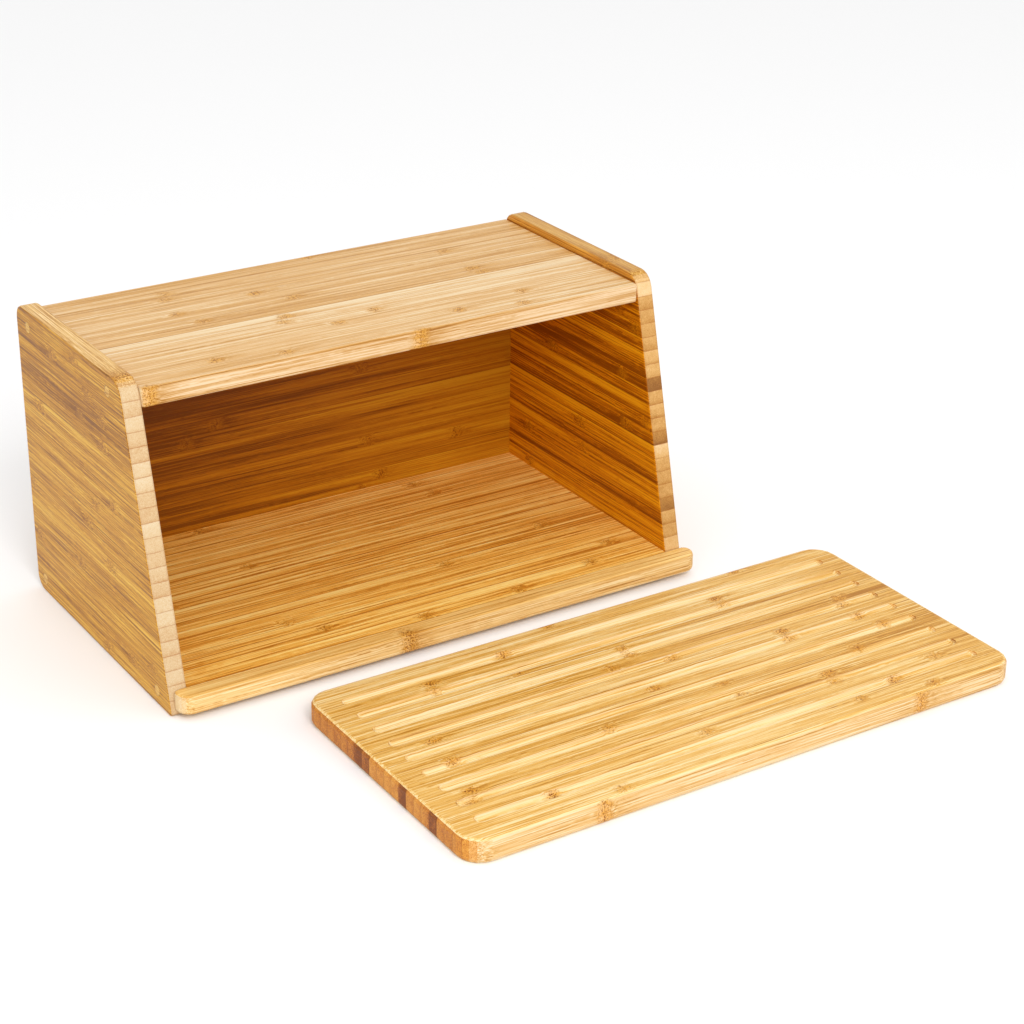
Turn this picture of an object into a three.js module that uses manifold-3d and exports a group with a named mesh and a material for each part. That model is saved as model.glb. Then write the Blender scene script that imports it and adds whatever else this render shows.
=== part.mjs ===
import * as THREE from "three";
import { mergeVertices } from "three/addons/utils/BufferGeometryUtils.js";
import Module from "manifold-3d";

// A bamboo bread box. Its slanted front is open, and the lift-off lid, a cutting board with
// crumb grooves, lies on the table in front of it.
// Millimetres, +Z up, the open front faces -Y. Inside this file the box's back edges are at
// Y = 0 and its middle is at X = 0; the last group moves the origin to the middle of the footprint.

// The box
const caseWidth = 400;
const caseHeight = 210.5;
const caseDepthTop = 168;
const caseDepthBottom = 220;
const sideThickness = 13;
const sideBackRadius = 10;
const sideTopFrontRadius = 13;
const sideToeRadius = 3;
const sideEdgeRound = 1.2;

// The boards between the sides
const boardThickness = 13;
const topRecess = 5.5;
const topSetback = 0.75;
const topEdgeRound = 1.2;
const topFrontProud = 2.3;
const baseLift = 4;
const backThickness = 8.5;

// The strip glued along the front of the base
const lipDepth = 14;
const lipShift = 4.5;
const lipOverlength = 3;
const lipFrontRadius = 9;
const lipBackRadius = 6;
const lipEdgeRound = 2;
const glueGap = 0.2;

// The screws through the sides, and the plugs that hide them
const plugRadius = 4;
const plugDepth = 5;
const plugGap = 0.15;
const headRadius = 3.6;
const headHeight = 2.4;
const shankRadius = 1.9;
const screwLength = 30;
const tipLength = 5;
const screwGap = 0.25;
const topScrewFromBack = 19.5;
const topScrewFromFront = 22.3;
const baseScrewFromBack = 14.5;
const baseScrewFromFront = 18.4;

// The lid, as it lies on the table
const lidThickness = 16;
const lidOverhang = 10;
const lidRise = 3.2;
const lidCornerRadius = 16;
const lidEdgeRound = 3;
const lidShift = 81;
const lidDistance = 31.7;
const grooveCount = 9;
const grooveWidth = 9;
const grooveDepth = 2.2;
const grooveEndMargin = 16.5;
const grooveSideMargin = 22.4;

// Facets
const cornerSteps = 5;
const edgeSteps = 2;
const roundSteps = 16;
const grooveSteps = 28;
const overshoot = 1;

// Worked out from the sizes above
const innerHalf = caseWidth / 2 - sideThickness;
const slantPerHeight = (caseDepthBottom - caseDepthTop) / caseHeight;
const slantAngle = Math.atan(slantPerHeight);
const baseTop = baseLift + boardThickness;
const topTop = caseHeight - topRecess;
const topUnder = topTop - boardThickness;
const topFront = frontAt(topTop) - topFrontProud;
const lipFront = frontAt(baseTop) - lipDepth;
const lidLength = caseWidth + 2 * lidOverhang;
const lidBreadth = (caseHeight - baseTop) / Math.cos(slantAngle) + lidRise;
const lidBack = lipFront - lidDistance;

// Y of the slanted front plane at a height.
function frontAt(z) {
  return -(caseDepthBottom - slantPerHeight * z);
}

const wasm = await Module();
wasm.setup();

// A closed three.js geometry as a solid for cutting and joining.
function solidOf(geometry) {
  const bare = geometry.clone();
  bare.deleteAttribute("normal");
  bare.deleteAttribute("uv");
  const merged = mergeVertices(bare, 1e-4);
  const triVerts = new Uint32Array(merged.index.array);
  const vertProperties = merged.attributes.position.array;
  return new wasm.Manifold(new wasm.Mesh({ numProp: 3, vertProperties, triVerts }));
}

function geometryOf(solid) {
  const { vertProperties, triVerts } = solid.getMesh();
  const geometry = new THREE.BufferGeometry();
  geometry.setAttribute("position", new THREE.BufferAttribute(vertProperties, 3));
  geometry.setIndex(new THREE.BufferAttribute(triVerts, 1));
  geometry.computeVertexNormals();
  return geometry;
}

function meshOf(name, geometry, color) {
  const material = new THREE.MeshStandardMaterial({ color, roughness: 0.55, metalness: 0 });
  const mesh = new THREE.Mesh(geometry, material);
  mesh.name = name;
  return mesh;
}

// A closed outline through corners given as [x, y, radius]. Each corner is an arc of that
// radius, and a radius of 0 leaves it sharp.
function roundedOutline(corners) {
  const points = [];
  corners.forEach(([x, y, radius], i) => {
    const corner = new THREE.Vector2(x, y);
    if (radius === 0) {
      points.push(corner);
      return;
    }
    const previous = corners[(i + corners.length - 1) % corners.length];
    const following = corners[(i + 1) % corners.length];
    const before = new THREE.Vector2(previous[0], previous[1]).sub(corner).normalize();
    const after = new THREE.Vector2(following[0], following[1]).sub(corner).normalize();
    const half = Math.acos(before.dot(after)) / 2;
    const middle = before.clone().add(after).normalize();
    const centre = corner.clone().addScaledVector(middle, radius / Math.sin(half));
    const start = corner.clone().addScaledVector(before, radius / Math.tan(half)).sub(centre);
    const turn = (Math.PI - 2 * half) * Math.sign(before.cross(after)) * -1;
    for (let step = 0; step <= cornerSteps; step++) {
      const spoke = start.clone().rotateAround(new THREE.Vector2(), (turn * step) / cornerSteps);
      points.push(spoke.add(centre));
    }
  });
  return new THREE.Shape(points);
}

// A slab whose outline is drawn in X and Y, from z = bottom upwards.
function slabUp(outline, bottom, thickness, edgeRound) {
  const geometry = new THREE.ExtrudeGeometry(outline, slabOptions(thickness, edgeRound));
  return geometry.translate(0, 0, bottom + edgeRound);
}

// A slab whose outline is drawn in Y and Z, from x = left across.
function slabAcross(outline, left, thickness, edgeRound) {
  const geometry = new THREE.ExtrudeGeometry(outline, slabOptions(thickness, edgeRound));
  const acrossX = new THREE.Matrix4().makeBasis(
    new THREE.Vector3(0, 1, 0),
    new THREE.Vector3(0, 0, 1),
    new THREE.Vector3(1, 0, 0),
  );
  return geometry.translate(0, 0, edgeRound).applyMatrix4(acrossX).translate(left, 0, 0);
}

function slabOptions(thickness, edgeRound) {
  return {
    depth: thickness - 2 * edgeRound,
    bevelEnabled: edgeRound > 0,
    bevelThickness: edgeRound,
    bevelSize: edgeRound,
    bevelOffset: -edgeRound,
    bevelSegments: edgeSteps,
    steps: 1,
  };
}

// Where the four screws of one side go, as Y and Z.
function screwPlaces() {
  const topMiddle = topTop - boardThickness / 2;
  const baseMiddle = baseLift + boardThickness / 2;
  return [
    { place: "top_back", y: -topScrewFromBack, z: topMiddle },
    { place: "top_front", y: topFront + topScrewFromFront, z: topMiddle },
    { place: "base_back", y: -baseScrewFromBack, z: baseMiddle },
    { place: "base_front", y: frontAt(baseMiddle) + baseScrewFromFront, z: baseMiddle },
  ];
}

// A turned shape from a profile of [radius, distance in from the outer face of the side].
// side is -1 on the left and 1 on the right.
function turned(profile, side, y, z) {
  const points = profile.map(([radius, along]) => new THREE.Vector2(radius, along));
  const geometry = new THREE.LatheGeometry(points, roundSteps);
  geometry.rotateZ((side * Math.PI) / 2);
  return geometry.translate((side * caseWidth) / 2, y, z);
}

const headStart = plugDepth + screwGap;

function plugProfile() {
  return [
    [0, 0],
    [plugRadius - plugGap, 0],
    [plugRadius - plugGap, plugDepth],
    [0, plugDepth],
  ];
}

function screwProfile() {
  const end = headStart + screwLength;
  return [
    [0, headStart],
    [headRadius, headStart],
    [shankRadius, headStart + headHeight],
    [shankRadius, end - tipLength],
    [0, end],
  ];
}

// The stepped hole for a plug, a screw's head and its shank.
function screwHoleProfile() {
  const end = headStart + screwLength + screwGap;
  return [
    [0, -overshoot],
    [plugRadius, -overshoot],
    [plugRadius, headStart],
    [headRadius + screwGap, headStart],
    [shankRadius + screwGap, headStart + headHeight + screwGap],
    [shankRadius + screwGap, end],
    [0, end],
  ];
}

// Takes the screw holes of both sides out of a piece.
function drilled(geometry) {
  let solid = solidOf(geometry);
  for (const side of [-1, 1]) {
    for (const { y, z } of screwPlaces()) {
      solid = solid.subtract(solidOf(turned(screwHoleProfile(), side, y, z)));
    }
  }
  return geometryOf(solid);
}

function sidePanel(side) {
  const outline = roundedOutline([
    [0, 0, sideBackRadius],
    [0, caseHeight, sideBackRadius],
    [frontAt(caseHeight), caseHeight, sideTopFrontRadius],
    [frontAt(0), 0, sideToeRadius],
  ]);
  const left = side < 0 ? -caseWidth / 2 : innerHalf;
  return drilled(slabAcross(outline, left, sideThickness, sideEdgeRound));
}

function topPanel() {
  const outline = roundedOutline([
    [-innerHalf, topFront, topEdgeRound * 2],
    [innerHalf, topFront, topEdgeRound * 2],
    [innerHalf, -topSetback, 0],
    [-innerHalf, -topSetback, 0],
  ]);
  return drilled(slabUp(outline, topUnder, boardThickness, topEdgeRound));
}

function basePanel() {
  const outline = roundedOutline([
    [frontAt(baseLift), baseLift, 0],
    [-topSetback, baseLift, 0],
    [-topSetback, baseTop, 0],
    [frontAt(baseTop), baseTop, 0],
  ]);
  return drilled(slabAcross(outline, -innerHalf, 2 * innerHalf, 0));
}

function backPanel() {
  const geometry = new THREE.BoxGeometry(2 * innerHalf, backThickness, topUnder - baseTop);
  return geometry.translate(0, -topSetback - backThickness / 2, (topUnder + baseTop) / 2);
}

// The strip in front of the base. Its back face lies along the slanted front of the sides.
function frontLip() {
  const halfLength = (caseWidth + lipOverlength) / 2;
  const back = frontAt(baseTop) + lipEdgeRound;
  const outline = roundedOutline([
    [lipShift - halfLength, lipFront, lipFrontRadius],
    [lipShift + halfLength, lipFront, lipFrontRadius],
    [lipShift + halfLength, back, lipBackRadius],
    [lipShift - halfLength, back, lipBackRadius],
  ]);
  const strip = slabUp(outline, baseLift, boardThickness, lipEdgeRound);
  const aheadOfSides = new THREE.Shape([
    new THREE.Vector2(lipFront - overshoot, 0),
    new THREE.Vector2(frontAt(0) - glueGap, 0),
    new THREE.Vector2(frontAt(caseHeight) - glueGap, caseHeight),
    new THREE.Vector2(lipFront - overshoot, caseHeight),
  ]);
  const space = slabAcross(aheadOfSides, -caseWidth, 2 * caseWidth, 0);
  return geometryOf(solidOf(strip).intersect(solidOf(space)));
}

// The lid lies grooves up. Its own origin is the middle of its underside.
function cuttingBoardLid() {
  const outline = roundedOutline([
    [-lidLength / 2, -lidBreadth / 2, lidCornerRadius],
    [lidLength / 2, -lidBreadth / 2, lidCornerRadius],
    [lidLength / 2, lidBreadth / 2, lidCornerRadius],
    [-lidLength / 2, lidBreadth / 2, lidCornerRadius],
  ]);
  let board = solidOf(slabUp(outline, 0, lidThickness, lidEdgeRound));
  const cutterRadius = (grooveWidth ** 2 / 4 + grooveDepth ** 2) / (2 * grooveDepth);
  const cutterHeight = lidThickness - grooveDepth + cutterRadius;
  const cutterTravel = lidLength - 2 * grooveEndMargin - grooveWidth;
  const pitch = (lidBreadth - 2 * grooveSideMargin) / (grooveCount - 1);
  for (let i = 0; i < grooveCount; i++) {
    const cutter = new THREE.CapsuleGeometry(cutterRadius, cutterTravel, 6, grooveSteps);
    cutter.rotateZ(Math.PI / 2);
    cutter.translate(0, grooveSideMargin + i * pitch - lidBreadth / 2, cutterHeight);
    board = board.subtract(solidOf(cutter));
  }
  return geometryOf(board);
}

// The box and everything fastened to it.
function breadCase() {
  const group = new THREE.Group();
  group.add(meshOf("left_side_panel", sidePanel(-1), 0xd8a765));
  group.add(meshOf("right_side_panel", sidePanel(1), 0xd8a765));
  group.add(meshOf("top_panel", topPanel(), 0xe8c48c));
  group.add(meshOf("base_panel", basePanel(), 0xd79a4b));
  group.add(meshOf("back_panel", backPanel(), 0xc98a3f));
  group.add(meshOf("front_lip", frontLip(), 0xe6bf85));
  for (const side of [-1, 1]) {
    const sideName = side < 0 ? "left" : "right";
    for (const { place, y, z } of screwPlaces()) {
      const screw = meshOf(`screw_${sideName}_${place}`, turned(screwProfile(), side, y, z), 0xb9bcc0);
      screw.material.metalness = 1;
      screw.material.roughness = 0.35;
      group.add(screw);
      group.add(meshOf(`plug_${sideName}_${place}`, turned(plugProfile(), side, y, z), 0xe2bd7e));
    }
  }
  return group;
}

function lidOnTable() {
  const lid = meshOf("cutting_board_lid", cuttingBoardLid(), 0xe9bd78);
  lid.position.set(lidShift, lidBack - lidBreadth / 2, 0);
  return lid;
}

// The footprint runs from the box's left face to the lid's right end, and from the back to the
// lid's front.
const footprintLeft = -caseWidth / 2;
const footprintRight = lidShift + lidLength / 2;
const footprintFront = lidBack - lidBreadth;

const breadBox = new THREE.Group();
breadBox.add(breadCase());
breadBox.add(lidOnTable());
breadBox.position.set(-(footprintLeft + footprintRight) / 2, -footprintFront / 2, 0);

export default breadBox;
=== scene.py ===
import math
import random
from functools import partial

import bmesh
import bpy
from mathutils import Matrix, Vector


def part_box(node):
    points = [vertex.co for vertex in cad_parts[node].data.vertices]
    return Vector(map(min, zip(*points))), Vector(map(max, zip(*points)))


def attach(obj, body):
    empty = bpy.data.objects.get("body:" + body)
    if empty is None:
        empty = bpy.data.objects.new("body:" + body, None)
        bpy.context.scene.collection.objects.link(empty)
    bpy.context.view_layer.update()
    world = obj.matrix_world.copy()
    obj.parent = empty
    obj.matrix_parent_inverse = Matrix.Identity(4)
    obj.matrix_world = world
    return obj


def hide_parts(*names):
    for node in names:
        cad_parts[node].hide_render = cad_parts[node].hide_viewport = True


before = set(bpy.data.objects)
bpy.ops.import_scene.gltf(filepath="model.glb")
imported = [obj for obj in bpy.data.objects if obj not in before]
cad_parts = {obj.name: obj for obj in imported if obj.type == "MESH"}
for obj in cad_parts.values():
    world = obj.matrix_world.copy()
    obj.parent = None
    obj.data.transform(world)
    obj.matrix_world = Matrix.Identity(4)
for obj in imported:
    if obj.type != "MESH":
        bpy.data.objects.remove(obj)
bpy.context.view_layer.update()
print("frame loaded:", len(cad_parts), "nodes")

mm = 0.001

cameraSetup = dict(
    place=(-0.75204, -1.16488, 0.73913),
    azimuth=-32.87,  # degrees round the box, from its front towards its left
    elevation=25.11,
    roll=0.68,
    lens=81.06,
    clipEnd=30,
)


def makeCamera(setup):
    azimuth = math.radians(setup["azimuth"])
    elevation = math.radians(setup["elevation"])
    roll = math.radians(setup["roll"])
    reach = math.cos(elevation)
    back = Vector((math.sin(azimuth) * reach, -math.cos(azimuth) * reach, math.sin(elevation)))
    right = Vector((math.cos(azimuth), math.sin(azimuth), 0))
    up = back.cross(right)
    side = right * math.cos(roll) + up * math.sin(roll)
    top = up * math.cos(roll) - right * math.sin(roll)
    data = bpy.data.cameras.new("camera")
    data.lens = setup["lens"]
    data.clip_end = setup["clipEnd"]
    camera = bpy.data.objects.new("camera", data)
    bpy.context.scene.collection.objects.link(camera)
    turn = Matrix((side, top, back)).transposed().to_4x4()
    camera.matrix_world = Matrix.Translation(setup["place"]) @ turn
    bpy.context.scene.camera = camera


makeCamera(cameraSetup)
print("camera placed")


def linear(code):
    channels = [int(code[i:i + 2], 16) / 255 for i in (1, 3, 5)]
    return (*[c / 12.92 if c <= 0.04045 else ((c + 0.055) / 1.055) ** 2.4 for c in channels], 1)


# Adds a node with its settings and links, and hands back one of its outputs. In a Mix node, inputs
# 2 and 3 are the two numbers and 6 and 7 the two colours, and output 2 is the mixed colour.
def addNode(tree, kind, *inputs, out=0, named=None, **settings):
    node = tree.nodes.new("ShaderNode" + kind)
    for name, value in settings.items():
        setattr(node, name, value)
    for key, value in [*enumerate(inputs), *(named or {}).items()]:
        if isinstance(value, bpy.types.NodeSocket):
            tree.links.new(value, node.inputs[key])
        else:
            node.inputs[key].default_value = value
    return node.outputs[out] if node.outputs else None


def fillRamp(socket, stops, interpolation="LINEAR"):
    ramp = socket.node.color_ramp
    ramp.interpolation = interpolation
    ramp.elements.remove(ramp.elements[1])
    for i, (position, colour) in enumerate(stops):
        element = ramp.elements.new(position) if i else ramp.elements[0]
        element.position = position
        element.color = colour


def evenStops(codes):
    return [(i / (len(codes) - 1), linear(code)) for i, code in enumerate(codes)]


def newMaterial(name):
    material = bpy.data.materials.new(name)
    material.use_nodes = True
    material.node_tree.nodes.clear()
    return material


# Side-pressed bamboo, planed, sanded and oiled: straight strips with fine dark fibres, golden
# knuckles with brown specks, thin glue lines, dotted end grain and a low satin sheen. Lengths in mm.
bambooGrain = dict(
    # width, length and noise detail of the threads along the grain. Real fibre bundles are 0.3 to
    # 0.5 wide, drawn a little coarser so that they show.
    threads=dict(fibre=(0.55, 55, 3), line=(1.3, 200, 2), band=(5, 260, 2), streak=(1.0, 240, 1)),
    noiseMiddle=0.5,
    toneMiddle=0.5,
    streakRange=(0.08, 0.2),
    stripSlip=(5.0, 0.0, 0.7),  # metres that the pattern slips between strips
    rimShare=0.3,
    leanMost=1.6,
    leanLeast=-0.3,
    # knuckles, whose places are kept in a colour ramp, shifted to be above 0 and below 1
    placeShift=0.5,
    placesKept=4,
    noPlace=1.0,
    seedStep=100,
    cellRange=(0.1, 0.9),
    patchLength=6.5,
    patchFade=(1.3, 0.3),
    patchSpread=0.2,
    patchMiddle=0.4,
    warpSize=3.2,
    warpDetail=2,
    warpDepth=5,
    gritSize=1.1,
    gritDetail=1,
    gritRange=(0.53, 0.6),
    ridgeWidth=0.7,
    ridgeCurve=70,  # metres of bow for each square metre off the strip's middle
    ridgeDepth=0.6,
    tailLength=30,
    tailStart=2,
    tailShare=0.4,
    tailWeave=-2.0,
    tailDepth=-0.4,
    sway=12,
    swaySize=7,
    swayDetail=1,
    swayDepth=5,
    swayLeast=0.5,
    # end grain
    bundleSpacing=0.95,
    bundleLength=30,
    bundleScatter=0.9,
    dotRange=(0.45, 0.15),
    # glue lines
    jointWidth=0.3,
    jointWave=0.1,
    jointOuter=1.6,
    jointInner=0.2,
    jointLuck=(0.35, 0.9),
    # how squarely a face has to look along, across or through the board to count, as a cosine
    endTurn=(0.4, 0.85),
    edgeTurn=(0.4, 0.9),
    flatTurn=(0.3, 0.6),
    insideTurn=(0.5, 0.9),
    roundTurn=(0.97, 0.85),
    lowerTurn=(0.1, 0.35),
    roofFade=2,
    # surface
    bumpDepth=0.2,
    bumpStrength=0.5,
    lineHeight=0.8,
    jointHeight=-0.3,
    patchHeight=0.2,
    fibreRoughness=0.35,
    endRoughness=0.1,
    ior=1.5,
    sheen=0.2,  # the oil has sunk in, so the sheen is weak
)


# Each strip's knuckles, as places along it in mm: those given, or else one for about every
# knuckleSpacing. A row holds placesKept places in metres, shifted.
def knuckleRows(board):
    g = bambooGrain
    low, high = board["span"]
    cells = round((high - low) / board["knuckleSpacing"])
    step = (high - low) / cells
    rows = []
    for i in range(len(board["faceShades"])):
        places = board["knuckles"].get(board["first"] + i)
        if places is None:
            draw = random.Random(board["seed"] * g["seedStep"] + i)
            picks = [(draw.uniform(*g["cellRange"]), draw.random()) for _ in range(cells)]
            places = [
                low + step * (j + at)
                for j, (at, chance) in enumerate(picks)
                if chance > board["bare"]
            ]
        row = [p * mm + g["placeShift"] for p in places] + [g["noPlace"]] * g["placesKept"]
        rows.append(row[:g["placesKept"]])
    return rows


def bambooMaterial(name, board):
    g = bambooGrain
    material = newMaterial(name)
    add = partial(addNode, material.node_tree)
    position = add("SeparateXYZ", add("TexCoord", out="Object")).node.outputs
    normal = add("SeparateXYZ", add("TexCoord", out="Normal")).node.outputs
    order = ["xyz".index(c) for c in board["axes"]]  # along the grain, across the strips, through
    along, across, through = [position[i] for i in order]
    facing = [add("Math", normal[i], operation="ABSOLUTE") for i in order]
    place = add("CombineXYZ", along, across, through)

    # strips, each with a shade and knuckles of its own. The halves read a strip's number at its
    # middle, clear of rounding.
    pitch = board["pitch"] * mm
    steps = add("Math", across, -board["joint"] * mm, operation="ADD")
    steps = add("Math", steps, pitch, operation="DIVIDE")
    number = add("Math", steps, operation="FLOOR")
    share = add("Math", steps, number, operation="SUBTRACT")
    seeded = add("Math", number, board["seed"] + 0.5, operation="ADD")
    luck = add("TexWhiteNoise", named={"W": seeded}, out="Color", noise_dimensions="1D")
    luck = add("SeparateXYZ", luck).node.outputs
    spot = add("Math", number, 0.5 - board["first"], operation="ADD")
    spot = add("Math", spot, len(board["faceShades"]), operation="DIVIDE")
    shadeRows = [(face, end, 0, 1) for face, end in zip(board["faceShades"], board["endShades"])]
    tables = []
    for rows in (shadeRows, knuckleRows(board)):
        table = add("ValToRGB", spot)
        fillRamp(table, [(i / len(rows), row) for i, row in enumerate(rows)], "CONSTANT")
        split = add("SeparateXYZ", table).node.outputs
        tables.append([*split, table.node.outputs["Alpha"]])
    (faceShade, endShade, *_), knuckles = tables
    slip = add("VectorMath", g["stripSlip"], named={"Scale": luck[0]}, operation="SCALE")
    stripPlace = add("VectorMath", place, slip, operation="ADD")

    # the nearest knuckle on the strip
    ahead = add("Math", along, g["placeShift"], operation="ADD")
    away = add("Math", ahead, knuckles[0], operation="SUBTRACT")
    for knuckle in knuckles[1:]:
        other = add("Math", ahead, knuckle, operation="SUBTRACT")
        gaps = [add("Math", gap, operation="ABSOLUTE") for gap in (other, away)]
        nearer = add("Math", *gaps, operation="LESS_THAN")
        away = add("Mix", nearer, named={2: away, 3: other})
    near = add("Math", away, operation="ABSOLUTE")
    near = add("MapRange", near, g["sway"] * mm, 0.0, interpolation_type="SMOOTHSTEP")
    aside = add("Math", luck[1], g["patchSpread"], g["patchMiddle"], operation="MULTIPLY_ADD")
    aside = add("Math", share, aside, operation="SUBTRACT")
    aside = add("Math", aside, pitch, operation="MULTIPLY")
    warpScale = {"Scale": 1 / (g["warpSize"] * mm), "Detail": g["warpDetail"]}
    warp = add("TexNoise", stripPlace, named=warpScale, out="Color")
    warp = add("VectorMath", warp, [g["noiseMiddle"]] * 3, operation="SUBTRACT")
    warp = add("SeparateXYZ", warp).node.outputs
    warpedAway = add("Math", warp[0], g["warpDepth"] * mm, away, operation="MULTIPLY_ADD")
    warpedAside = add("Math", warp[1], g["warpDepth"] * mm, aside, operation="MULTIPLY_ADD")

    # a knuckle is a golden patch with brown grit and a bowed ridge, and a dark tail along the grain
    reach = add("CombineXYZ", warpedAway, warpedAside, 0.0)
    patchSize = (1 / (g["patchLength"] * mm), 1 / (board["patchWidth"] * pitch), 0.0)
    reach = add("VectorMath", reach, patchSize, operation="MULTIPLY")
    reach = add("VectorMath", reach, out="Value", operation="LENGTH")
    strength = add("Math", luck[2], 1 - board["faintest"], board["faintest"], operation="MULTIPLY_ADD")
    patch = add("MapRange", reach, *g["patchFade"], interpolation_type="SMOOTHSTEP")
    patch = add("Math", patch, strength, operation="MULTIPLY")
    bow = add("Math", warpedAside, warpedAside, operation="MULTIPLY")
    bow = add("Math", bow, g["ridgeCurve"], warpedAway, operation="MULTIPLY_ADD")
    bow = add("Math", bow, operation="ABSOLUTE")
    ridge = add("MapRange", bow, g["ridgeWidth"] * mm, 0.0, interpolation_type="SMOOTHSTEP")
    ridge = add("Math", ridge, patch, operation="MULTIPLY")
    gritScale = {"Scale": 1 / (g["gritSize"] * mm), "Detail": g["gritDetail"]}
    grit = add("TexNoise", stripPlace, named=gritScale)
    grit = add("MapRange", grit, *g["gritRange"], interpolation_type="SMOOTHSTEP")
    grit = add("Math", grit, patch, operation="MULTIPLY")
    grit = add("Math", ridge, g["ridgeDepth"], grit, operation="MULTIPLY_ADD", use_clamp=True)
    tail = add("MapRange", away, g["tailLength"] * mm, 0.0, interpolation_type="SMOOTHSTEP")
    rise = g["tailStart"] * mm
    tailStart = add("MapRange", away, -rise, rise, interpolation_type="SMOOTHSTEP")
    tailEdge = add("Math", warpedAside, operation="ABSOLUTE")
    tailEdge = add("MapRange", tailEdge, g["tailShare"] * pitch, 0.0, interpolation_type="SMOOTHSTEP")
    for part in (tailStart, tailEdge, strength):
        tail = add("Math", tail, part, operation="MULTIPLY")

    # fibres, which bend a little round the knuckles
    bendScale = {"Scale": 1 / (g["swaySize"] * mm), "Detail": g["swayDetail"]}
    bend = add("TexNoise", stripPlace, named=bendScale)
    bend = add("Math", bend, g["noiseMiddle"], operation="SUBTRACT")
    bendMost, bendLeast = g["swayDepth"] * mm, g["swayLeast"] * mm
    bendDepth = add("Math", near, bendMost, bendLeast, operation="MULTIPLY_ADD")
    bend = add("Math", bend, bendDepth, operation="MULTIPLY")
    bent = add("VectorMath", stripPlace, add("CombineXYZ", 0.0, bend, bend), operation="ADD")
    threads = {}
    for kind, (width, length, detail) in g["threads"].items():
        size = (1 / (length * mm), 1 / (width * mm), 1 / (width * mm))
        scaled = add("VectorMath", bent, size, operation="MULTIPLY")
        thread = add("TexNoise", scaled, named={"Scale": 1.0, "Detail": detail})
        threads[kind] = add("Math", thread, g["noiseMiddle"], operation="SUBTRACT")
    weave = add("Math", threads["fibre"], board["fibre"], operation="MULTIPLY")
    weave = add("Math", threads["line"], board["line"], weave, operation="MULTIPLY_ADD")
    weave = add("Math", threads["band"], board["band"], weave, operation="MULTIPLY_ADD")
    streak = add("MapRange", threads["streak"], *g["streakRange"], interpolation_type="SMOOTHSTEP")
    rim = add("MapRange", share, g["rimShare"], 0.0, interpolation_type="SMOOTHSTEP")
    rim = add("Math", rim, luck[1], operation="MULTIPLY")
    middle = add("Math", share, 0.5, operation="SUBTRACT")
    leanDepth = add("Math", luck[2], g["leanMost"], g["leanLeast"], operation="MULTIPLY_ADD")
    lean = add("Math", middle, leanDepth, operation="MULTIPLY")

    # 1 on faces that turn into the box below its roof, 0 on all others: where shade is painted inside
    # the box
    sign, axis = board["inside"]
    insideShadeMask = add("Math", normal["xyz".index(axis)], float(sign + "1"), operation="MULTIPLY")
    insideShadeMask = add("MapRange", insideShadeMask, *g["insideTurn"], interpolation_type="SMOOTHSTEP")
    roof = board["insideTop"] * mm
    overRoof = roof + g["roofFade"] * mm
    below = add("MapRange", position[2], overRoof, roof, interpolation_type="SMOOTHSTEP")
    insideShadeMask = add("Math", insideShadeMask, below, operation="MULTIPLY")

    # strips darken towards an edge, where the wall of the bamboo was densest
    tone = add("Math", faceShade, weave, operation="ADD")
    tailDepth = add("Math", threads["line"], g["tailWeave"], g["tailDepth"], operation="MULTIPLY_ADD")
    changes = [
        (streak, -board["streak"]), (rim, -board["rim"]),
        (lean, board["slope"]), (tail, tailDepth),
    ]
    for amount, depth in changes:
        tone = add("Math", amount, depth, tone, operation="MULTIPLY_ADD")
    # on faces inside the box the inside drift paints shade along the grain, darker towards one end
    for key, where in (("drift", 1.0), ("insideShadeDrift", insideShadeMask)):
        start, end, *depths = board[key]
        ends = (start * mm, end * mm)
        drift = add("MapRange", along, *ends, *depths, interpolation_type="SMOOTHSTEP")
        tone = add("Math", drift, where, tone, operation="MULTIPLY_ADD")
    contrast = add("Math", tone, g["toneMiddle"], operation="SUBTRACT")
    deeper = add("Math", insideShadeMask, board["insideContrast"], operation="MULTIPLY")
    tone = add("Math", contrast, deeper, tone, operation="MULTIPLY_ADD")
    start, end, *depths = board["skin"]
    skin = add("MapRange", through, start * mm, end * mm, *depths, interpolation_type="SMOOTHSTEP")
    flat = add("MapRange", facing[2], *g["flatTurn"], interpolation_type="SMOOTHSTEP")
    tone = add("Math", skin, flat, tone, operation="MULTIPLY_ADD")
    faces = add("ValToRGB", tone)
    fillRamp(faces, evenStops(board["faceColours"]))
    edges = add("ValToRGB", tone)
    fillRamp(edges, evenStops(board["edgeColours"] or board["faceColours"]))
    edgeness = add("MapRange", facing[1], *g["edgeTurn"], interpolation_type="SMOOTHSTEP")
    colour = add("Mix", edgeness, named={6: faces, 7: edges}, out=2, data_type="RGBA")
    patchDepth = add("Math", patch, board["patch"], operation="MULTIPLY", use_clamp=True)
    patchColour = linear(board["patchColour"])
    colour = add("Mix", patchDepth, named={6: colour, 7: patchColour}, out=2, data_type="RGBA")
    gritDepth = add("Math", grit, board["grit"], operation="MULTIPLY", use_clamp=True)
    gritColour = linear(board["gritColour"])
    colour = add("Mix", gritDepth, named={6: colour, 7: gritColour}, out=2, data_type="RGBA")

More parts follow.
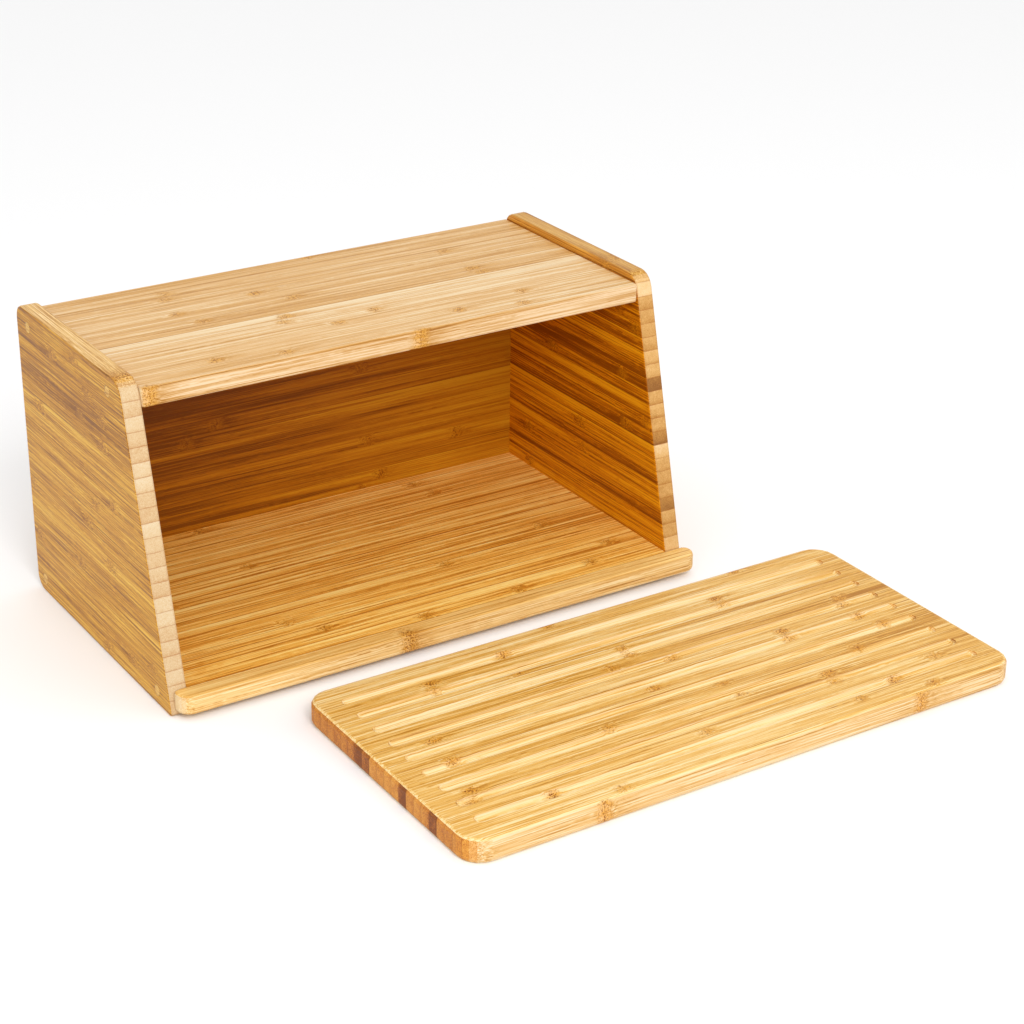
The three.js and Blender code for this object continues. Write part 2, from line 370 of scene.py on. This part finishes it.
    # end grain: fibre bundles cut across show as fine dots
    spacing = 1 / (g["bundleSpacing"] * mm)
    bundleSize = (1 / (g["bundleLength"] * mm), spacing, spacing)
    bundles = add("VectorMath", stripPlace, bundleSize, operation="MULTIPLY")
    bundles = add("TexVoronoi", bundles, named={"Scale": 1.0, "Randomness": g["bundleScatter"]})
    dots = add("MapRange", bundles, *g["dotRange"], interpolation_type="SMOOTHSTEP")
    endTone = add("Math", weave, board["endWeave"], endShade, operation="MULTIPLY_ADD")
    changes = [(dots, -board["dots"]), (rim, -board["endRim"]), (lean, board["endSlope"])]
    for amount, depth in changes:
        endTone = add("Math", amount, depth, endTone, operation="MULTIPLY_ADD")
    ends = add("ValToRGB", endTone)
    fillRamp(ends, evenStops(board["endColours"]))
    endness = add("MapRange", facing[0], *g["endTurn"], interpolation_type="SMOOTHSTEP")
    colour = add("Mix", endness, named={6: colour, 7: ends}, out=2, data_type="RGBA")

    # glue lines, a little wavy across the end grain
    half = g["jointWidth"] * mm / pitch
    wave = add("Math", warp[1], endness, operation="MULTIPLY")
    joint = add("Math", wave, g["jointWave"], middle, operation="MULTIPLY_ADD")
    joint = add("Math", joint, operation="ABSOLUTE")
    jointRange = (0.5 - g["jointOuter"] * half, 0.5 - g["jointInner"] * half)
    joint = add("MapRange", joint, *jointRange, interpolation_type="SMOOTHSTEP")
    glue = add("MapRange", luck[0], *g["jointLuck"], board["jointLeast"], board["jointMost"])
    endGlue = add("Math", endness, board["endJoint"], operation="MULTIPLY")
    glue = add("Math", glue, endGlue, operation="MAXIMUM")
    glue = add("Math", glue, joint, operation="MULTIPLY")
    jointColour = linear(board["jointColour"])
    colour = add("Mix", glue, named={6: colour, 7: jointColour}, out=2, data_type="RGBA")

    # rounded edges are a little browner: partly the wear of handled wood, partly painted shade along
    # the rounding
    rounding = add(
        "MapRange", facing[2], *g["roundTurn"], 0.0, board["wornAndShade"], interpolation_type="SMOOTHSTEP")
    lower = add("MapRange", facing[2], *g["lowerTurn"], interpolation_type="SMOOTHSTEP")
    rounding = add("Math", rounding, lower, operation="MULTIPLY")
    wornAndShadeColour = linear(board["wornAndShadeColour"])
    colour = add("Mix", rounding, named={6: colour, 7: wornAndShadeColour}, out=2, data_type="RGBA")

    # faces turned into the box get a deeper amber tint: painted shade inside the box
    mixed = {6: colour, 7: linear(board["insideShadeTint"])}
    colour = add("Mix", insideShadeMask, named=mixed, out=2, data_type="RGBA", blend_type="MULTIPLY")

    # planed and sanded surface: fine ridges along the fibres, less sheen on the end grain
    height = add("Math", threads["line"], g["lineHeight"], threads["fibre"], operation="MULTIPLY_ADD")
    height = add("Math", joint, g["jointHeight"], height, operation="MULTIPLY_ADD")
    height = add("Math", patch, g["patchHeight"], height, operation="MULTIPLY_ADD")
    depth = g["bumpDepth"] * mm
    bump = add("Bump", named={"Strength": g["bumpStrength"], "Distance": depth, "Height": height})
    roughness = board["roughness"]
    for amount, rise in ((threads["fibre"], g["fibreRoughness"]), (endness, g["endRoughness"])):
        roughness = add("Math", amount, rise, roughness, operation="MULTIPLY_ADD")
    shader = {"Base Color": colour, "Roughness": roughness, "Normal": bump}
    shader["IOR"] = g["ior"]
    shader["Specular IOR Level"] = g["sheen"]
    add("OutputMaterial", add("BsdfPrincipled", named=shader))
    return material


# Lengths and places are in mm. "axes" gives the directions along the grain, across the strips and
# through the board, "joint" the place of one glue line, "first" the number of the first strip
# counted from it, and "knuckles" the places along the strip of each number. Shades, drifts and
# slopes are tones, from 0 for the darkest colour to 1 for the palest.
commonBoard = dict(
    seed=0, roughness=0.42, knuckles={}, span=(-230, 140), knuckleSpacing=150, bare=0.45, faintest=0.45,
    fibre=2.7, line=1.0, band=0.6, streak=0.3, rim=0.12, slope=0.12, endWeave=0.3, dots=0.08,
    patch=0.6, patchWidth=0.5, patchColour="#ce9232", grit=1.0, gritColour="#8a5212",
    jointLeast=0.05, jointMost=0.4, endJoint=0.5, jointColour="#9a5a1e", edgeColours=None,
    endSlope=0.15, endRim=0.15, wornAndShade=0.15, wornAndShadeColour="#9c6424",
    # insideShadeTint and insideShadeDrift paint shade on the faces inside the box
    skin=(0, 1, 0, 0), drift=(0, 1, 0, 0), inside="-x", insideShadeTint="#ffffff", insideTop=204,
    insideShadeDrift=(0, 1, 0, 0), insideContrast=0.0,
    endColours=["#b98b4e", "#dcb06c", "#ecd0a2", "#f6e3c4"],
)

sideBoard = dict(
    axes="yzx", pitch=9.36, joint=198.0, first=-22, span=(15, 230), inside="+x", insideShadeTint="#ffe050",
    faceShades=[
        0.5, 0.55, 0.5, 0.5, 0.6, 0.5, 0.5, 0.55, 0.6, 0.5, 0.45, 0.55,
        0.6, 0.5, 0.5, 0.6, 0.6, 0.5, 0.28, 0.35, 0.42, 0.35, 0.42, 0.4,
    ],
    endShades=[
        0.6, 0.6, 0.65, 0.75, 0.65, 0.62, 0.6, 0.78, 0.75, 0.58, 0.62, 0.6,
        0.65, 0.8, 0.55, 0.6, 0.78, 0.75, 0.58, 0.6, 0.75, 0.6, 0.65, 0.6,
    ],
    knuckles={
        0: (135,), -1: (173,), -2: (115,), -3: (95,), -4: (130,), -5: (96,), -6: (200,), -7: (), -8: (),
        -9: (85,), -10: (113,), -11: (), -12: (130,), -13: (225,), -14: (95,), -15: (), -16: (148,),
        -17: (220,), -18: (), -19: (38,), -20: (68,), -21: (109,), 1: (72,),
    },
    faceColours=["#834e09", "#b4781d", "#d1972f", "#e3b74c"],
    edgeColours=["#b07a34", "#d7aa60", "#e9c68a", "#f5ddb2"],
    endColours=["#8f6230", "#ba9060", "#ccb087", "#d4c2a2"],
)

rightBoard = dict(
    sideBoard, joint=195.3, first=-21, seed=40, inside="-x", insideShadeTint="#ffe64c",
    insideContrast=0.3, fibre=2.0, line=0.8, band=1.0, slope=0.3, rim=0.2,
    knuckles={1: (100,), -6: (30,), -3: (62,), -7: (75,), -9: (28,), -11: (70,), -4: (150,)},
    faceShades=[
        0.5, 0.5, 0.65, 0.6, 0.4, 0.55, 0.65, 0.45, 0.6, 0.7, 0.3, 0.45,
        0.65, 0.5, 0.25, 0.4, 0.65, 0.55, 0.3, 0.5, 0.35, 0.4, 0.4,
    ],
    endShades=[
        0.6, 0.7, 0.75, 0.52, 0.5, 0.2, 0.5, 0.5, 0.55, 0.8, 0.22, 0.5,
        0.55, 0.5, 0.05, 0.6, 0.6, 0.5, 0.5, 0.48, 0.5, 0.9, 0.85,
    ],
    faceColours=["#884e0b", "#bb7821", "#d99734", "#ebb754"],
    edgeColours=["#9c621a", "#c08a38", "#d4a658", "#e6c488"],
    endColours=["#875726", "#b27f3e", "#d0a465", "#e0c294"],
)

topBoard = dict(
    axes="xyz", pitch=9.9, joint=134.5, first=-8, inside="-z", insideShadeTint="#ffdc50",
    faceShades=[
        0.7, 0.68, 0.6, 0.58, 0.7, 0.74, 0.82, 0.86, 0.46,
        0.56, 0.52, 0.56, 0.62, 0.6, 0.52, 0.54, 0.46, 0.42,
    ],
    endShades=[0.6] * 18,
    knuckles={
        -8: (-227, -33), -7: (-127, 53), -6: (-172, 8), -5: (65,), -4: (-73,), -3: (-40,), -2: (-103,),
        -1: (-97,), 0: (63,), 1: (-148, 60), 2: (-75,), 3: (-157,), 4: (-95,), 5: (62,), 6: (-152,),
        7: (-148,), 8: (), 9: (-28,),
    },
    faceColours=["#ae772b", "#cb9951", "#d9af77", "#e5cea5"],
    edgeColours=["#8b5519", "#b5823f", "#cda672", "#dec39e"],
    endColours=["#b08449", "#cba060", "#d8bd8f", "#e3d1b2"],
    patch=0.8, patchColour="#d49a38", gritColour="#8e5412",
    fibre=1.9, line=1.4, band=1.0, jointMost=0.5, rim=0.15, faintest=0.6,
)

backBoard = dict(
    axes="xzy", pitch=9.9, joint=100.0, first=-10, inside="-y", insideShadeTint="#dfc254", seed=5,
    faceShades=[
        0.5, 0.55, 0.4, 0.45, 0.55, 0.5, 0.45, 0.5, 0.55, 0.45,
        0.4, 0.45, 0.5, 0.4, 0.55, 0.45, 0.35, 0.5, 0.45, 0.45,
    ],
    endShades=[0.6] * 20,
    faceColours=["#8a5510", "#b97d26", "#d29a3e", "#e4b858"],
    fibre=1.3, line=0.6, band=1.5, jointMost=0.25, bare=0.65,
    # painted shade on the back wall inside the box: darker towards its left end, lighter towards its
    # right
    insideShadeDrift=(-235, 140, -0.45, 0.25),
)

baseBoard = dict(
    axes="xyz", pitch=9.9, joint=16.0, first=-1, inside="+z", insideShadeTint="#fff4de", seed=8,
    faceShades=[
        0.55, 0.5, 0.6, 0.5, 0.55, 0.45, 0.5, 0.6, 0.5, 0.45, 0.55,
        0.5, 0.5, 0.6, 0.45, 0.5, 0.55, 0.5, 0.45, 0.5, 0.55, 0.5, 0.5,
    ],
    endShades=[0.6] * 23,
    knuckles={-1: (), 0: (-55, 20), 1: (87,), 2: (-120,)},
    faceColours=["#b7741f", "#e6aa47", "#f6cc70", "#fce89f"],
    patchColour="#d29838", gritColour="#a0641a",
    fibre=2.5, line=2.0, band=1.0, rim=0.5, jointMost=0.9, bare=0.65,
)

lipBoard = dict(
    axes="xyz", pitch=24, joint=-8.0, first=-1, seed=3,
    faceShades=[0.6, 0.6, 0.6],
    endShades=[0.6, 0.6, 0.6],
    knuckles={0: (-77,), -1: (), 1: ()},
    faceColours=["#a96e26", "#d19846", "#e4b565", "#f0cf89"],
    edgeColours=["#aa722e", "#d3a055", "#e5bd7b", "#efd6a3"],
    endColours=["#b98b4e", "#d5a866", "#e2c698", "#eedbbc"],
    rim=0.0, slope=0.0, jointLeast=1.0, jointMost=1.0, faintest=0.9, fibre=2.2,
    patchColour="#d29432", gritColour="#86490c", patchWidth=0.42,
)

lidBoard = dict(
    axes="xyz", pitch=8.8, joint=-36.4, first=-23, seed=11, inside="-z", span=(-170, 240),
    faceShades=[
        0.6, 0.65, 0.65, 0.6, 0.6, 0.45, 0.55, 0.6, 0.5, 0.4, 0.55, 0.6,
        0.55, 0.6, 0.5, 0.45, 0.55, 0.6, 0.5, 0.55, 0.6, 0.62, 0.62, 0.68,
    ],
    endShades=[
        0.7, 0.6, 0.55, 0.5, 0.5, 0.05, 0.5, 0.6, 0.55, 0.02, 0.6, 0.62,
        0.6, 0.6, 0.2, 0.02, 0.35, 0.45, 0.4, 0.5, 0.45, 0.5, 0.5, 0.3,
    ],
    knuckles={
        -23: (-82, 163), -22: (-65, 178), -21: (124,), -20: (-103, 160), -19: (16, 202),
        -18: (-148, 127), -17: (-143, 127), -16: (65,), -15: (-33, 167), -14: (62,),
        -13: (-135, 204), -12: (20,),
        -11: (138, 198), -10: (-133, 138), -9: (55, 200), -8: (12, 203), -7: (34,), -6: (33,),
        -5: (-42,), -4: (-100, 128), -3: (-98, 128), -2: (-37,), -1: (), 0: (8, 165),
    },
    faceColours=["#ac7221", "#d39c43", "#e2b86a", "#ecd5a0"],
    edgeColours=["#a77332", "#cb9b54", "#dab57d", "#e4cda4"],
    endColours=["#783d10", "#b76c27", "#d39038", "#e6b058"],
    fibre=2.4, band=0.9, dots=0.25, wornAndShade=0.08,
    skin=(15.95, 15.3, 0, 0.3), drift=(120, 235, 0, -0.14), endWeave=0.5,
    patch=0.75, patchColour="#d69530", gritColour="#84480a",
)

plugBoard = dict(
    axes="yzx", pitch=30, joint=-5.0, first=0, knuckles={i: () for i in range(8)},
    faceShades=[0.55] * 8, endShades=[0.6] * 8, rim=0.0, slope=0.0,
    # the strong browning of the eased rim is painted shade in the ring round each plug
    wornAndShade=0.8, wornAndShadeColour="#8f5a20", jointMost=0.0,
    faceColours=["#b0782c", "#cc9640", "#deb05a", "#eac880"],
)

boards = {
    "left_side_panel": ("oiledBambooSide", sideBoard),
    "right_side_panel": ("oiledBambooRight", rightBoard),
    "top_panel": ("oiledBambooTop", topBoard),
    "back_panel": ("oiledBambooBack", backBoard),
    "base_panel": ("oiledBambooBase", baseBoard),
    "front_lip": ("oiledBambooLip", lipBoard),
    "cutting_board_lid": ("oiledBambooLid", lidBoard),
}
for node, (name, board) in boards.items():
    made = bambooMaterial(name, dict(commonBoard, **board))
    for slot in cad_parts[node].material_slots:
        slot.material = made
print("boards finished")

# a turned dowel slice in each screw hole, with its rim eased so that a fine ring shows; the plug
# material paints shade on that rim
plugSetup = dict(
    sides=48,
    rim=0.5,  # mm
    rimSteps=3,
)


def makePlug(node, setup, material):
    low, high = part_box(node)
    middle = (low + high) / 2
    outward = -1 if "left" in node else 1
    radius = (high.z - low.z) / 2
    bm = bmesh.new()
    bmesh.ops.create_cone(
        bm, cap_ends=True, segments=setup["sides"],
        radius1=radius, radius2=radius, depth=high.x - low.x)
    face = max(bm.faces, key=lambda f: f.calc_center_median().z)
    bmesh.ops.bevel(
        bm, geom=list(face.edges), offset=setup["rim"] * mm, offset_type="OFFSET",
        segments=setup["rimSteps"], profile=0.5, affect="EDGES", material=-1)
    turn = Matrix.Rotation(outward * math.pi / 2, 4, "Y")
    bmesh.ops.transform(bm, matrix=Matrix.Translation(middle) @ turn, verts=bm.verts)
    mesh = bpy.data.meshes.new(node + "_turned")
    bm.to_mesh(mesh)
    bm.free()
    mesh.materials.append(material)
    plug = bpy.data.objects.new(node + "_turned", mesh)
    bpy.context.scene.collection.objects.link(plug)
    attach(plug, "box")
    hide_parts(node)


plugMade = bambooMaterial("oiledBambooPlug", dict(commonBoard, **plugBoard))
for node in sorted(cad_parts):
    if node.startswith("plug_"):
        makePlug(node, plugSetup, plugMade)
print("plugs turned")

screwSetup = dict(
    cloudSize=1.1,  # mm
    cloudDetail=2,
    colourRange=(0.35, 0.65),
    sheenRange=(0.3, 0.7),
    darkZinc="#a9adb0",
    brightZinc="#c9cdcf",
    smoothest=0.25,
    roughest=0.45,
)


# Zinc plated steel, bright with cloudy patches where the plating is duller
def steelMaterial(setup):
    material = newMaterial("zincPlatedSteel")
    add = partial(addNode, material.node_tree)
    cloudScale = {"Scale": 1 / (setup["cloudSize"] * mm), "Detail": setup["cloudDetail"]}
    cloud = add("TexNoise", add("TexCoord", out="Object"), named=cloudScale)
    colour = add("ValToRGB", cloud)
    zincs = [linear(setup[name]) for name in ("darkZinc", "brightZinc")]
    fillRamp(colour, list(zip(setup["colourRange"], zincs)))
    roughness = add("MapRange", cloud, *setup["sheenRange"], setup["smoothest"], setup["roughest"])
    shader = {"Base Color": colour, "Roughness": roughness, "Metallic": 1.0}
    add("OutputMaterial", add("BsdfPrincipled", named=shader))
    return material


steelMade = steelMaterial(screwSetup)
for node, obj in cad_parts.items():
    if node.startswith("screw_"):
        obj.material_slots[0].material = steelMade
print("screws plated")

stageSetup = dict(
    floorSize=12,  # metres
    floorDrop=0.2,  # mm
    paper="#f6f6f6",
    paperRoughness=0.9,
    worldColour="#ffffff",
    worldStrength=0.95,
)


def makeStage(setup):
    mesh = bpy.data.meshes.new("floor")
    bm = bmesh.new()
    drop = Matrix.Translation((0, 0, -setup["floorDrop"] * mm))
    bmesh.ops.create_grid(bm, x_segments=1, y_segments=1, size=setup["floorSize"] / 2, matrix=drop)
    bm.to_mesh(mesh)
    bm.free()
    floor = bpy.data.objects.new("floor", mesh)
    bpy.context.scene.collection.objects.link(floor)
    # matt white paper, which gives the eye nothing but soft shadows
    material = newMaterial("whitePaperSweep")
    add = partial(addNode, material.node_tree)
    shader = {"Base Color": linear(setup["paper"]), "Roughness": setup["paperRoughness"]}
    add("OutputMaterial", add("BsdfPrincipled", named=shader))
    mesh.materials.append(material)
    world = bpy.data.worlds.new("studio")
    world.use_nodes = True
    background = world.node_tree.nodes["Background"]
    background.inputs["Color"].default_value = linear(setup["worldColour"])
    background.inputs["Strength"].default_value = setup["worldStrength"]
    bpy.context.scene.world = world


makeStage(stageSetup)

# one large softbox in front and to the left, in metres
keySetup = dict(place=(-0.55, -1.8, 1.6), aim=(0, 0, 0.05), side=1.0, watts=32)


def makeSoftbox(name, setup):
    data = bpy.data.lights.new(name, "AREA")
    data.size = setup["side"]
    data.energy = setup["watts"]
    lamp = bpy.data.objects.new(name, data)
    bpy.context.scene.collection.objects.link(lamp)
    lamp.location = setup["place"]
    away = Vector(setup["aim"]) - Vector(setup["place"])
    lamp.rotation_euler = away.to_track_quat("-Z", "Y").to_euler()


makeSoftbox("keyLight", keySetup)
bpy.context.scene.view_settings.view_transform = "Standard"
print("stage and light ready")
